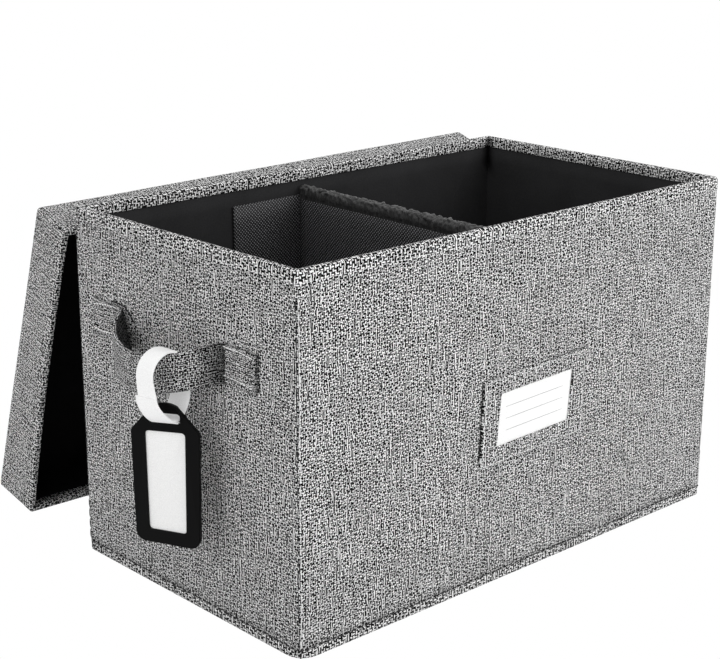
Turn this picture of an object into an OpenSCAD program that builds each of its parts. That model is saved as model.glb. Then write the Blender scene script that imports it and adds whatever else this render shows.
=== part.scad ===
// Fabric-covered record case with a lift-off lid, a divider, two strap handles,
// a front label pocket and a hanging tag. The lid is off and leans on the rear wall.
// Origin: centre of the underside of the base. +X runs along the long side to the right,
// +Z is up, and the label is on the -Y side.

/* [Box] */
// Outer length of the box, over the fabric
box_l = 340; // [320:1:380]
// Outer width of the box, over the fabric
box_w = 194; // [186:1:220]
// Height of the box from the floor to the top of the rim
box_h = 209.5; // [195:0.5:240]
// Outer radius of the vertical corners
corner_r = 2.4; // [1.8:0.1:3.5]
// Radius of the sewn ridge that runs up each corner
corner_seam_r = 1.1; // [0.8:0.1:1.6]

/* [Layers] */
// Thickness of the woven cover
cover_t = 1.1; // [0.8:0.1:1.6]
// Thickness of the stiff boards in the walls and base
board_t = 2.5; // [2:0.1:4]
// Thickness of the black lining
lining_t = 0.5; // [0.3:0.1:1]
// Height of the folded band round the foot
foot_band_h = 5.5; // [4:0.5:9]
// How far the folded band stands proud of the cover
foot_band_proud = 0.4; // [0.2:0.1:1]
// Radius of the foot's corners, seen from above
foot_r = 8; // [4:0.5:12]
// Radius of the foot's rolled lower edge
foot_edge_r = 3.5; // [1:0.5:3.5]
// Depth of the rim hem on the outside
rim_hem_out = 8; // [5:0.5:12]
// Depth of the rim hem on the inside
rim_hem_in = 7; // [4:0.5:12]
// How far the rim hem stands proud of the cover
rim_hem_proud = 0.2; // [0.1:0.1:0.6]
// Thickness of the loose lined board on the floor
floor_t = 2.6; // [2:0.1:4]
// Gap round the loose floor board
floor_gap = 0.4; // [0.3:0.1:1]

/* [Divider] */
// Place of the divider along the box
divider_x = -5; // [-20:1:20]
// How far the divider's top edge lies below the rim
divider_drop = 9.5; // [9.5:0.5:30]
// Thickness of the divider's stiff board
divider_board_t = 2.5; // [1.5:0.1:4]
// Thickness of the divider's fabric
divider_skin_t = 0.9; // [0.6:0.1:1.5]
// Height of the gathered top
ruffle_h = 14; // [8:1:24]
// Thickness of the gathered top
ruffle_w = 7.2; // [6:0.1:10]
// Mean distance from one gather to the next
ruffle_pitch = 9; // [6:0.5:14]
// Depth of the gathers
ruffle_depth = 0.55; // [0.2:0.05:0.7]
// Length of the wing that holds the divider to the wall
wing_l = 57; // [30:1:80]
// How far the wing's top edge lies below the rim
wing_drop = 16; // [16:0.5:60]
// Height of the wing's lower edge
wing_foot = 20; // [8:1:60]
// Thickness of the wing
wing_t = 1.6; // [1:0.1:2.5]

/* [Handles] */
// Height of the middle of the handle
handle_z = 149; // [120:1:170]
// Width of the strap
handle_w = 22; // [18:1:26]
// Thickness of the strap
handle_t = 2.4; // [1.6:0.1:3.5]
// Where the strap leaves the wall towards the front
handle_front_y = -37; // [-45:1:-30]
// Where the strap leaves the wall towards the rear
handle_rear_y = 56; // [45:1:62]
// How far the strap bows out from the wall
handle_bow = 28; // [26:1:34]
// Length of the sewn end towards the front
handle_end_front = 29.5; // [20:0.5:36]
// Length of the sewn end towards the rear
handle_end_rear = 22.4; // [16:0.1:28]
// Running gap between pieces that move past each other
run_gap = 0.3; // [0.2:0.05:0.5]

/* [Label] */
// Place of the label along the front
label_x = 6; // [-40:1:40]
// Height of the middle of the label window
label_z = 99; // [60:1:140]
// Width of the pocket
pocket_w = 85; // [75:1:110]
// Height of the pocket
pocket_h = 51; // [45:1:60]
// Width of the window
window_w = 60; // [50:1:66]
// Height of the window
window_h = 30.5; // [24:0.5:34]
// Thickness of the pocket's fabric
pocket_t = 0.9; // [0.6:0.1:1.4]
// How far the card reaches behind the fabric at each side of the window
card_lap = 4; // [2:0.5:6]
// Thickness of the card
card_t = 0.5; // [0.3:0.1:0.8]

/* [Tag] */
// Width of the tag
tag_w = 37; // [34:0.5:44]
// Height of the tag below its hanging edge
tag_drop = 68; // [60:1:80]
// Height of the tag above its hanging edge
tag_rise = 9.2; // [7:0.1:9.5]
// Thickness of the tag
tag_t = 3.6; // [3:0.1:5]
// Radius of the tag's lower corners
tag_r = 5; // [2:0.5:8]
// Width of the tag's window
tag_window_w = 23; // [18:0.5:26]
// Height of the tag's window
tag_window_h = 54.5; // [44:0.5:56]
// How far the tag's card reaches under its frame
tag_card_lap = 2; // [1:0.5:3]
// Thickness of the frame in front of the tag's card
tag_lip = 1.2; // [0.8:0.1:1.5]
// Thickness of the tag's card
tag_card_t = 0.8; // [0.4:0.1:1]
// Turn of the tag about the vertical, away from the end wall
tag_turn = 33; // [20:1:36]
// Width of the slot that the loop passes through
slot_w = 17.5; // [16:0.5:20]
// Height of the slot
slot_h = 4.5; // [3.5:0.1:5]
// Width of the loop's band
loop_w = 14; // [10:0.5:15]
// Thickness of the loop's band
loop_t = 1.2; // [0.8:0.1:1.6]
// Inner depth of the loop, front to back
loop_d = 24; // [20:1:26]
// Inner height of the loop
loop_h = 40.5; // [38:0.5:48]
// Turn of the loop's upper end about the vertical
loop_turn = 16; // [8:1:20]
// Place of the loop along the strap, as a share of its curve from rear to front
loop_place = 0.7; // [0.55:0.01:0.72]

/* [Lid] */
// Depth of the lid, over the fabric
lid_d = 37; // [30:0.5:50]
// Gap all round between the closed lid and the box
lid_fit = 1; // [0.5:0.1:2]
// Thickness of the lid's boards
lid_board_t = 1.5; // [1:0.1:2.5]
// Thickness of the lid's lining
lid_lining_t = 0.4; // [0.3:0.1:0.8]
// Depth of the hem round the lid's open edge
lid_hem = 7.5; // [5:0.5:12]
// Place of the lid along the box while it leans behind it
lid_x = 3.6; // [-10:0.1:10]
// Angle of the leaning lid from upright
lid_lean = 18.4; // [12:0.1:24]

/* [Hidden] */

$fn = 48;
cut = 1; // overshoot of cutting tools

weave_grey = [0.55, 0.55, 0.56];
lining_black = [0.14, 0.14, 0.15];
board_brown = [0.62, 0.52, 0.40];
card_white = [0.93, 0.93, 0.92];
tag_black = [0.07, 0.07, 0.08];
loop_white = [0.90, 0.90, 0.89];

// Plan sizes of the box, layer by layer from the outside in
board_l = box_l - 2 * cover_t;
board_w = box_w - 2 * cover_t;
bay_l = board_l - 2 * board_t;
bay_w = board_w - 2 * board_t;
inner_l = bay_l - 2 * lining_t;
inner_w = bay_w - 2 * lining_t;
// Levels of the box
wall_foot = cover_t + board_t;
base_board_r = foot_r - foot_band_proud - cover_t;
board_top = box_h - cover_t;
rim_out_z = box_h - rim_hem_out;
rim_in_z = box_h - rim_hem_in;
floor_top = wall_foot + floor_t;
// Divider
divider_top = box_h - divider_drop;
wing_top = box_h - wing_drop;
divider_foot = floor_top + run_gap;
divider_w = inner_w - 2 * run_gap - 2 * wing_t;
divider_cover_t = divider_board_t + 2 * divider_skin_t;
ruffle_foot = divider_top - ruffle_h;
divider_board_top = divider_top - ruffle_h / 3;
ruffle_stations = 64;
ruffle_points = 11;
// Handle: the fixed root of the strap ends at root_r from the fold line
root_r = handle_w / 2 / sin(45);
handle_steps = 36;
// Loop and tag: the loop hangs on the top edge of the strap, the tag in the foot of the loop
loop_top = handle_w / 2 + run_gap;
loop_steps = 48;
tag_hang_z = loop_top - loop_h + run_gap;
tag_shoulder = 6;
tag_neck_w = 13;
tag_window_drop = 7.3;
// Lid, in its closed position: open side down, hem at z = 0
lid_wall = cover_t + lid_board_t + lid_lining_t;
lid_l = box_l + 2 * lid_fit + 2 * lid_wall;
lid_w = box_w + 2 * lid_fit + 2 * lid_wall;
lid_board_l = lid_l - 2 * cover_t;
lid_board_w = lid_w - 2 * cover_t;
lid_bay_l = lid_board_l - 2 * lid_board_t;
lid_bay_w = lid_board_w - 2 * lid_board_t;
lid_deck_z = lid_d - cover_t - lid_board_t;
lid_foot_y = box_w / 2 + rim_hem_proud + run_gap + lid_w * sin(lid_lean);

// ---- helpers ----

// Upright block, centred in plan, from z0 to z1
module slab(l, w, z0, z1) {
  translate([-l / 2, -w / 2, z0]) cube([l, w, z1 - z0]);
}

// Upright block with rounded vertical corners
module round_slab(l, w, r, z0, z1) {
  translate([0, 0, z0]) linear_extrude(z1 - z0) {
    square([l - 2 * r, w], center = true);
    square([l, w - 2 * r], center = true);
    for (sx = [-1, 1], sy = [-1, 1])
      translate([sx * (l / 2 - r), sy * (w / 2 - r)]) circle(r);
  }
}

// Upright profile with rolled lower corners
module rolled_profile(w, e, z1) {
  translate([-w / 2, e]) square([w, z1 - e]);
  translate([-w / 2 + e, 0]) square([w - 2 * e, z1]);
  for (side = [-1, 1])
    translate([side * (w / 2 - e), e]) circle(e);
}

// Plate with rounded corners and a rolled lower edge
module rolled_plate(l, w, r, e, z1) {
  intersection() {
    round_slab(l, w, r, 0, z1);
    rotate([90, 0, 90]) linear_extrude(2 * l, center = true) rolled_profile(w, e, z1);
    rotate([90, 0, 0]) linear_extrude(2 * w, center = true) rolled_profile(l, e, z1);
  }
}

// Block between two corners
module block(low, high) {
  translate(low) cube(high - low);
}

function smooth(u) = u * u * (3 - 2 * u);

// ---- box ----

// The walls stand on the folded edge of the foot, which is rounder than they are
module base_cover() {
  color(weave_grey) difference() {
    rolled_plate(box_l + 2 * foot_band_proud, box_w + 2 * foot_band_proud,
                 foot_r, foot_edge_r, foot_band_h);
    round_slab(board_l, board_w, base_board_r, cover_t, wall_foot);
    slab(bay_l, bay_w, cover_t, foot_band_h + cut);
  }
}

module base_board() {
  color(board_brown) round_slab(board_l, board_w, base_board_r, cover_t, wall_foot);
}

module long_board(side) {
  color(board_brown) translate([0, side * (board_w - board_t) / 2, 0])
    slab(board_l, board_t, foot_band_h, board_top);
}

module end_board(side) {
  color(board_brown) translate([side * (board_l - board_t) / 2, 0, 0])
    slab(board_t, bay_w, foot_band_h, board_top);
}

module outer_cover() {
  color(weave_grey) difference() {
    union() {
      round_slab(box_l, box_w, corner_r, foot_band_h, rim_out_z);
      for (sx = [-1, 1], sy = [-1, 1])
        translate([sx * (box_l / 2 - corner_seam_r), sy * (box_w / 2 - corner_seam_r), foot_band_h])
          cylinder(r = corner_seam_r, h = rim_out_z - foot_band_h);
    }
    slab(board_l, board_w, 0, box_h);
  }
}

module rim_hem() {
  leg_l = bay_l - 2 * cover_t;
  leg_w = bay_w - 2 * cover_t;
  color(weave_grey) difference() {
    round_slab(box_l + 2 * rim_hem_proud, box_w + 2 * rim_hem_proud, corner_r, rim_out_z, box_h);
    difference() {
      slab(board_l, board_w, 0, board_top);
      slab(bay_l, bay_w, rim_in_z, box_h);
    }
    slab(leg_l, leg_w, 0, box_h + cut);
  }
}

module wall_lining() {
  color(lining_black) difference() {
    slab(bay_l, bay_w, wall_foot, rim_in_z);
    slab(inner_l, inner_w, 0, box_h);
  }
}

module floor_insert() {
  color(lining_black)
    slab(inner_l - 2 * floor_gap, inner_w - 2 * floor_gap, wall_foot, floor_top);
}

// ---- handles: x is the distance out from the wall, z = 0 is the middle of the strap ----

strap_curve = [
  [handle_t / 2, handle_rear_y],
  [0.64 * handle_bow, handle_rear_y - 0.3 * (handle_rear_y - handle_front_y)],
  [1.93 * handle_bow, handle_front_y - 1],
  [handle_t / 2, handle_front_y]
];

function curve_at(t) =
  pow(1 - t, 3) * strap_curve[0] + 3 * pow(1 - t, 2) * t * strap_curve[1]
  + 3 * (1 - t) * t * t * strap_curve[2] + pow(t, 3) * strap_curve[3];

function curve_dir(t) =
  let (d = (1 - t) * (1 - t) * (strap_curve[1] - strap_curve[0])
         + 2 * (1 - t) * t * (strap_curve[2] - strap_curve[1])
         + t * t * (strap_curve[3] - strap_curve[2]))
  d / norm(d);

function curve_side(t, off) =
  let (d = curve_dir(t)) curve_at(t) + off * [d[1], -d[0]];

module strap_ribbon() {
  near_side = [for (i = [0 : handle_steps]) curve_side(i / handle_steps, handle_t / 2)];
  far_side = [for (i = [handle_steps : -1 : 0]) curve_side(i / handle_steps, -handle_t / 2)];
  translate([0, 0, -handle_w / 2]) linear_extrude(handle_w) polygon(concat(near_side, far_side));
}

module root_zone(r) {
  rotate([90, 0, 0]) cylinder(r = r, h = 4 * box_w, center = true, $fn = 96);
}

module strap_end_front() {
  block([0, handle_front_y - handle_end_front, -handle_w / 2],
        [handle_t, handle_front_y + handle_t / 2, handle_w / 2]);
  intersection() {
    strap_ribbon();
    root_zone(root_r);
    block([0, handle_front_y - 5, -handle_w], [root_r, (handle_front_y + handle_rear_y) / 2, handle_w]);
  }
}

module strap_end_rear() {
  block([0, handle_rear_y - handle_t / 2, -handle_w / 2],
        [handle_t, handle_rear_y + handle_end_rear, handle_w / 2]);
  intersection() {
    strap_ribbon();
    root_zone(root_r);
    block([0, (handle_front_y + handle_rear_y) / 2, -handle_w], [root_r, handle_rear_y + 5, handle_w]);
  }
}

module strap_free() {
  difference() {
    strap_ribbon();
    root_zone(root_r + run_gap);
  }
}

module on_left_wall() {
  translate([-box_l / 2, 0, handle_z]) mirror([1, 0, 0]) children();
}

module on_right_wall() {
  translate([box_l / 2, 0, handle_z]) mirror([0, 1, 0]) children();
}

// ---- label ----

module label_pocket() {
  gap = card_t + 2 * run_gap;
  face = -box_w / 2;
  low = label_z - pocket_h / 2;
  card_w = window_w + 2 * card_lap;
  color(weave_grey) difference() {
    block([label_x - pocket_w / 2, face - gap - pocket_t, low],
          [label_x + pocket_w / 2, face, low + pocket_h]);
    block([label_x - card_w / 2 - run_gap, face - gap, label_z - window_h / 2 - card_lap - run_gap],
          [label_x + card_w / 2 + run_gap, face + cut, low + pocket_h + cut]);
    block([label_x - window_w / 2, face - gap - pocket_t - cut, label_z - window_h / 2],
          [label_x + window_w / 2, face - gap + cut / 2, label_z + window_h / 2]);
  }
}

module label_card() {
  face = -box_w / 2 - run_gap;
  color(card_white)
    block([label_x - window_w / 2 - card_lap, face - card_t, label_z - window_h / 2 - card_lap],
          [label_x + window_w / 2 + card_lap, face, label_z + window_h / 2 + card_lap]);
}

// ---- divider, centred on its own middle plane ----

module divider_board() {
  color(board_brown) translate([divider_x, 0, 0])
    slab(divider_board_t, divider_w - 2 * divider_skin_t,
         divider_foot + divider_skin_t, divider_board_top);
}

module divider_cover() {
  color(lining_black) translate([divider_x, 0, 0]) difference() {
    slab(divider_cover_t, divider_w, divider_foot, ruffle_foot);
    slab(divider_board_t, divider_w - 2 * divider_skin_t, divider_foot + divider_skin_t, box_h);
  }
}

// Gathers: a slow wave and a quicker one, out of step from point to point
function gather(y, k) =
  let (a = 360 * y / ruffle_pitch) 0.65 * sin(a + 50 * k) + 0.35 * sin(1.73 * a + 110 * k);

function ruffle_point(y, k) =
  let (th = 180 * k / (ruffle_points - 1),
       swell = ruffle_depth * gather(y, k) * sin(th),
       rise = pow(sin(th), 0.45))
  [-(ruffle_w / 2 - ruffle_depth) * cos(th) * (0.8 + 0.2 * rise) - swell * (th < 90 ? 1 : -1),
   y,
   ruffle_foot + (ruffle_h - ruffle_depth) * rise + swell];

module divider_ruffle() {
  pts = [for (j = [0 : ruffle_stations], k = [0 : ruffle_points - 1])
    ruffle_point(-divider_w / 2 + divider_w * j / ruffle_stations, k)];
  n = ruffle_points;
  m = ruffle_stations;
  side = [for (j = [0 : m - 1], k = [0 : n - 1]) let (a = j * n + k, b = j * n + (k + 1) % n)
    each [[a, b, b + n], [a, b + n, a + n]]];
  caps = [[for (k = [n - 1 : -1 : 0]) k], [for (k = [0 : n - 1]) m * n + k]];
  color(lining_black) translate([divider_x, 0, 0]) difference() {
    polyhedron(points = pts, faces = concat(side, caps), convexity = 6);
    slab(divider_board_t, divider_w - 2 * divider_skin_t, ruffle_foot - cut, divider_board_top);
  }
}

module divider_wing(side) {
  near = side * divider_w / 2;
  color(lining_black) translate([divider_x, 0, 0])
    block([-wing_l + divider_cover_t / 2, min(near, near + side * wing_t), wing_foot],
          [divider_cover_t / 2, max(near, near + side * wing_t), wing_top]);
}

// ---- tag: z = 0 is the middle of the strap, the loop hangs from its top edge ----

loop_mid = curve_at(loop_place);

// One corner of the loop's section: a is the angle round the loop, out and side are -1 or 1
function loop_point(a, out, side) =
  let (r = loop_d / 2 + loop_t / 2,
       reach = loop_h / 2 - loop_d / 2,
       v = (r + out * loop_t / 2) * cos(a),
       up = (sin(a) > 0 ? reach : -reach) + (r + out * loop_t / 2) * sin(a),
       down = min(1, max(0, (loop_h / 2 - up) / loop_h)),
       turn = loop_turn + (tag_turn - loop_turn) * smooth(down))
  [v * cos(turn) - side * loop_w / 2 * sin(turn),
   v * sin(turn) + side * loop_w / 2 * cos(turn),
   loop_top - loop_h / 2 + up];

module loop_band() {
  n = loop_steps;
  corners = [[-1, -1], [1, -1], [1, 1], [-1, 1]];
  pts = [for (i = [0 : n - 1], c = corners) loop_point((i + 0.5) * 360 / n, c[0], c[1])];
  faces = [for (i = [0 : n - 1], k = [0 : 3])
    let (a = 4 * i + k, b = 4 * i + (k + 1) % 4, a2 = (a + 4) % (4 * n), b2 = (b + 4) % (4 * n))
    each [[a, b, b2], [a, b2, a2]]];
  polyhedron(points = pts, faces = faces, convexity = 6);
}

// Outline of the tag, hanging edge of the slot at y = 0
module tag_outline() {
  translate([-tag_w / 2, -tag_drop + tag_r]) square([tag_w, tag_drop - tag_r - tag_shoulder]);
  translate([-tag_w / 2 + tag_r, -tag_drop]) square([tag_w - 2 * tag_r, tag_r]);
  for (side = [-1, 1])
    translate([side * (tag_w / 2 - tag_r), -tag_drop + tag_r]) circle(tag_r);
  polygon([[-tag_w / 2, -tag_shoulder], [tag_w / 2, -tag_shoulder],
           [tag_neck_w / 2, tag_rise - 2], [-tag_neck_w / 2, tag_rise - 2]]);
  intersection() {
    translate([0, tag_rise - tag_neck_w]) circle(tag_neck_w);
    translate([-tag_neck_w / 2, tag_rise - 2.1]) square([tag_neck_w, 3]);
  }
}

module rounded_rect(w, h, r) {
  square([w - 2 * r, h], center = true);
  square([w, h - 2 * r], center = true);
  for (sx = [-1, 1], sy = [-1, 1])
    translate([sx * (w / 2 - r), sy * (h / 2 - r)]) circle(r);
}

// Plate across the tag between two depths behind its front face
module tag_layer(from, to) {
  rotate([90, 0, -90]) translate([0, 0, tag_t / 2 - to]) linear_extrude(to - from) children();
}

module tag_body_plate() {
  window_mid = -tag_window_drop - tag_window_h / 2;
  difference() {
    tag_layer(0, tag_t) tag_outline();
    tag_layer(-cut, tag_lip + tag_card_t / 2)
      translate([0, window_mid]) rounded_rect(tag_window_w, tag_window_h, 2.5);
    tag_layer(tag_lip, tag_lip + tag_card_t) translate([0, window_mid])
      square([tag_window_w + 2 * tag_card_lap, tag_window_h + 2 * tag_card_lap], center = true);
    tag_layer(-cut, tag_t + cut) {
      translate([0, -slot_h / 2]) rounded_rect(slot_w, slot_h, slot_h / 2 - 0.2);
      translate([0, (tag_t - slot_h) / 4]) square([slot_w, (tag_t + slot_h) / 2], center = true);
    }
  }
  // The hanging edge is round, so that the tag turns freely in the loop
  translate([0, 0, tag_t / 2]) rotate([90, 0, 0])
    cylinder(d = tag_t, h = slot_w + 0.4, center = true);
}

module at_strap() {
  translate([-box_l / 2 - loop_mid[0], loop_mid[1], handle_z]) children();
}

module tag_loop() {
  color(loop_white) at_strap() loop_band();
}

module tag_frame() {
  color(tag_black) at_strap() translate([0, 0, tag_hang_z]) rotate([0, 0, tag_turn]) tag_body_plate();
}

module tag_card() {
  color(card_white) at_strap() translate([0, 0, tag_hang_z]) rotate([0, 0, tag_turn])
    tag_layer(tag_lip, tag_lip + tag_card_t) translate([0, -tag_window_drop - tag_window_h / 2])
      square([tag_window_w + 2 * tag_card_lap, tag_window_h + 2 * tag_card_lap], center = true);
}

// ---- lid ----

module leaning() {
  translate([lid_x, lid_foot_y, 0]) rotate([lid_lean - 90, 0, 0]) translate([0, -lid_w / 2, 0]) children();
}

module lid_board_top() {
  color(board_brown) leaning() slab(lid_board_l, lid_board_w, lid_deck_z, lid_d - cover_t);
}

module lid_long_board(side) {
  color(board_brown) leaning() translate([0, side * (lid_board_w - lid_board_t) / 2, 0])
    slab(lid_board_l, lid_board_t, cover_t, lid_deck_z);
}

module lid_end_board(side) {
  color(board_brown) leaning() translate([side * (lid_board_l - lid_board_t) / 2, 0, 0])
    slab(lid_board_t, lid_bay_w, cover_t, lid_deck_z);
}

module lid_cover() {
  color(weave_grey) leaning() difference() {
    round_slab(lid_l, lid_w, corner_r, lid_hem, lid_d);
    slab(lid_board_l, lid_board_w, 0, lid_d - cover_t);
  }
}

// Hem round the lid's open edge: a fold over the free edge of each skirt board
module lid_hem_ring() {
  difference() {
    round_slab(lid_l, lid_w, corner_r, 0, lid_hem);
    difference() {
      slab(lid_board_l, lid_board_w, cover_t, lid_hem + cut);
      slab(lid_bay_l, lid_bay_w, 0, lid_hem + 2 * cut);
    }
    slab(lid_bay_l - 2 * cover_t, lid_bay_w - 2 * cover_t, -cut, lid_hem + cut);
  }
}

module lid_hem_long(side) {
  low = lid_bay_w / 2 - cover_t;
  color(weave_grey) leaning() intersection() {
    lid_hem_ring();
    block([-lid_l, side > 0 ? low : -lid_w, -cut], [lid_l, side > 0 ? lid_w : -low, lid_d]);
  }
}

module lid_hem_end(side) {
  far = lid_l / 2;
  fold = [[far, 0], [far, lid_hem], [far - cover_t, lid_hem], [far - cover_t, cover_t],
          [lid_bay_l / 2, cover_t], [lid_bay_l / 2, lid_hem],
          [lid_bay_l / 2 - cover_t, lid_hem], [lid_bay_l / 2 - cover_t, 0]];
  color(weave_grey) leaning() mirror([side > 0 ? 0 : 1, 0, 0]) rotate([90, 0, 0])
    linear_extrude(lid_bay_w - 2 * cover_t, center = true) polygon(fold);
}

module lid_lining() {
  color(lining_black) leaning() difference() {
    slab(lid_bay_l, lid_bay_w, lid_hem, lid_deck_z);
    slab(lid_bay_l - 2 * lid_lining_t, lid_bay_w - 2 * lid_lining_t, 0, lid_deck_z - lid_lining_t);
  }
}

base_cover();
base_board();
long_board(-1);  // front_board
long_board(1);  // rear_board
end_board(-1);  // left_board
end_board(1);  // right_board
outer_cover();
rim_hem();
wall_lining();
floor_insert();
color(weave_grey) on_left_wall() strap_end_front();  // left_handle_end_front
color(weave_grey) on_left_wall() strap_end_rear();  // left_handle_end_rear
color(weave_grey) on_left_wall() strap_free();  // left_handle
color(weave_grey) on_right_wall() strap_end_rear();  // right_handle_end_front
color(weave_grey) on_right_wall() strap_end_front();  // right_handle_end_rear
color(weave_grey) on_right_wall() strap_free();  // right_handle
label_pocket();
label_card();
divider_board();
divider_cover();
divider_ruffle();
divider_wing(1);  // divider_wing_rear
divider_wing(-1);  // divider_wing_front
tag_loop();
tag_frame();
tag_card();
lid_board_top();
lid_long_board(-1);  // lid_board_upper
lid_long_board(1);  // lid_board_foot
lid_end_board(-1);  // lid_board_left
lid_end_board(1);  // lid_board_right
lid_cover();
lid_hem_long(-1);  // lid_hem_upper
lid_hem_long(1);  // lid_hem_foot
lid_hem_end(-1);  // lid_hem_left
lid_hem_end(1);  // lid_hem_right
lid_lining();
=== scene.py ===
# %% [markdown]
# # A fabric-covered record case
# The case is a box of stiff board under a coarse grey weave, with a loose lid that leans on
# its rear wall, a black divider, two strap handles, a label pocket and a hanging tag.
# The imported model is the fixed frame: it says where each piece is and how it moves. It could
# be dressed by painting its own solids, but their edges are too crisp for cloth. So most
# pieces are built again here as meshes, in the same place, and carry a map of their threads.

# %% Load the frame
import math
import bmesh
import bpy
import numpy as np
from mathutils import Matrix, Vector, noise


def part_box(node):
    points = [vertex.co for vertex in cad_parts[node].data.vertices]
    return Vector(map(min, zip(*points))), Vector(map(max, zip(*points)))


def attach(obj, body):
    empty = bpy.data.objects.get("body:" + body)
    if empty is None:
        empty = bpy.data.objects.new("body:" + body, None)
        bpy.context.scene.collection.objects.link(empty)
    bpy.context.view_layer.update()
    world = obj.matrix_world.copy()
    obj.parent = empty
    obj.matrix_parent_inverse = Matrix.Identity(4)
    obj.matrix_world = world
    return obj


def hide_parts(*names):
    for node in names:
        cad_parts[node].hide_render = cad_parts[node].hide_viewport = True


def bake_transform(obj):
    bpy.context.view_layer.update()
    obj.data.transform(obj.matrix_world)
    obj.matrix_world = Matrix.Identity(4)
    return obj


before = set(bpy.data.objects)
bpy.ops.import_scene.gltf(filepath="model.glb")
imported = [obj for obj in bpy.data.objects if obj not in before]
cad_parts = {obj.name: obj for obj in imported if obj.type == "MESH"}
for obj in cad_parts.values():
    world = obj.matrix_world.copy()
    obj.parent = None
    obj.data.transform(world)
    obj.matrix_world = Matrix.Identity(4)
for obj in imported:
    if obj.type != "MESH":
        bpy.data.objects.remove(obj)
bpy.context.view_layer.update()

print("nodes:", len(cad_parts))

# %% [markdown]
# ## Sizes
# Sizes are written in millimetres, as a maker would measure them, and turned into metres
# once, where a mesh is made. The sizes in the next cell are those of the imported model, so
# that every piece meets its neighbours without fitting by eye. A few small pieces were
# measured again in the photograph after the model was packed. Their cells give both sizes:
# the foot band's radii, the gathered top, the tag and the white band it hangs on.

# %% Sizes in millimetres
MM = 0.001
box_l, box_w, box_h = 340.0, 194.0, 209.5
corner_r = 2.4                                    # upright corners of box and lid
handle_z, handle_w, handle_t = 149.0, 22.0, 2.4
label_x, label_z = 6.0, 99.0                      # middle of the label
pocket_w, pocket_h, window_w, window_h = 85.0, 51.0, 60.0, 30.5
divider_x, divider_w, divider_top = -5.0, 182.0, 200.0
lid_l, lid_w, lid_d = 348.0, 202.0, 37.0
lid_lean, lid_x, lid_foot_y = 18.4, 3.6, 161.26   # degrees, and where its long skirt stands
print("case of %g x %g x %g mm," % (box_l, box_w, box_h), "lid of %g x %g x %g mm" % (lid_l, lid_w, lid_d))

# %% [markdown]
# ## Camera
# The camera stands in front of the left corner and a little above the rim, as someone does
# who looks down into the case. It could be aimed by eye with a target, but a lens and a
# place worked out from the straight edges of the box keep all the proportions true.

# %% Place the camera
def aim(azimuth, elevation, roll):
    a, e, r = (math.radians(v) for v in (azimuth, elevation, roll))
    back = Vector((math.sin(a) * math.cos(e), -math.cos(a) * math.cos(e), math.sin(e)))
    right = (-back).cross(Vector((0, 0, 1))).normalized()
    up = right.cross(-back)
    turned = math.cos(r) * right + math.sin(r) * up
    level = -math.sin(r) * right + math.cos(r) * up
    return Matrix((turned, level, back)).transposed().to_4x4()

camera_at = (-0.668275, -0.685133, 0.411523)   # metres
camera_turn = (-42.53, 16.73, 0.11)            # azimuth, elevation and roll, in degrees
lens_mm, sensor_mm = 82.82, 36.0

lens = bpy.data.cameras.new("viewer")
lens.lens, lens.sensor_width, lens.sensor_fit = lens_mm, sensor_mm, "HORIZONTAL"
lens.clip_start, lens.clip_end = 0.05, 50.0
viewer = bpy.data.objects.new("viewer", lens)
viewer.matrix_world = Matrix.Translation(camera_at) @ aim(*camera_turn)
bpy.context.scene.collection.objects.link(viewer)
bpy.context.scene.camera = viewer
print("camera at", [round(v, 3) for v in viewer.location], "lens", lens.lens)

# %% [markdown]
# ## Building a skin
# A piece of cloth that wraps a box, a strap and a plastic band are all the same thing to a
# mesh: rows of points, joined row to row. They could be pulled out of cubes by hand, but
# rows that come from a profile keep the stated sizes, and they give each point its place
# along the threads for free. That place, in metres, goes into a UV map named threads.

# %% From rows of points to a mesh
def finish_piece(mesh, name, material, body, stands_for):
    tidy = bmesh.new()
    tidy.from_mesh(mesh)
    bmesh.ops.recalc_face_normals(tidy, faces=tidy.faces)
    tidy.to_mesh(mesh)
    tidy.free()
    mesh.shade_smooth()
    mesh.materials.append(material)
    made = bpy.data.objects.new(name, mesh)
    bpy.context.scene.collection.objects.link(made)
    if body:
        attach(made, body)
    if stands_for:
        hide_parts(*stands_for)
    return made

def skin(name, rows, across, along, material, body, stands_for=(), slot=None,
         round_row=True, round_column=True):
    """rows is n x m x 3 in mm. A round row joins its last point to its first, and a round
    column joins the last row to the first; rows left open at the ends get a cap. across and
    along are the thread map: one value for each point of a row, and one for each row."""
    rows = np.asarray(rows, float)
    n, m = rows.shape[:2]
    last_i, last_k = (n if round_column else n - 1), (m if round_row else m - 1)
    across, along = np.asarray(across, float), np.asarray(along, float)
    across = np.broadcast_to(across, (n + 1, m + 1))
    along = np.broadcast_to(along if along.ndim > 1 else along[:, None], (n + 1, m + 1))
    faces, spots = [], []
    for i in range(last_i):
        for k in range(last_k):
            a, b = (i + 1) % n, (k + 1) % m
            faces.append((i * m + k, i * m + b, a * m + b, a * m + k))
            for x, y in ((i, k), (i, k + 1), (i + 1, k + 1), (i + 1, k)):
                spots.append((across[x, y] * MM, along[x, y] * MM))
    if round_row and not round_column:
        for i, order in ((0, range(m - 1, -1, -1)), (n - 1, range(m))):
            faces.append([i * m + k for k in order])
            flat = rows[i] - rows[i].mean(0)
            _, _, axes = np.linalg.svd(flat, full_matrices=False)
            spots += [tuple(flat[k] @ axes[:2].T * MM) for k in order]
    mesh = bpy.data.meshes.new(name)
    mesh.from_pydata((rows.reshape(-1, 3) * MM).tolist(), [], faces)
    mesh.uv_layers.new(name="threads").data.foreach_set("uv", np.array(spots, np.float32).ravel())
    return finish_piece(mesh, name, material, body, stands_for)

def lengths(points):
    """Running length along a row of points, with one value more for the way back to the start."""
    points = np.asarray(points, float)
    step = np.linalg.norm(np.roll(points, -1, 0) - points, axis=1)
    return np.concatenate([[0.0], np.cumsum(step)])

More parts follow.
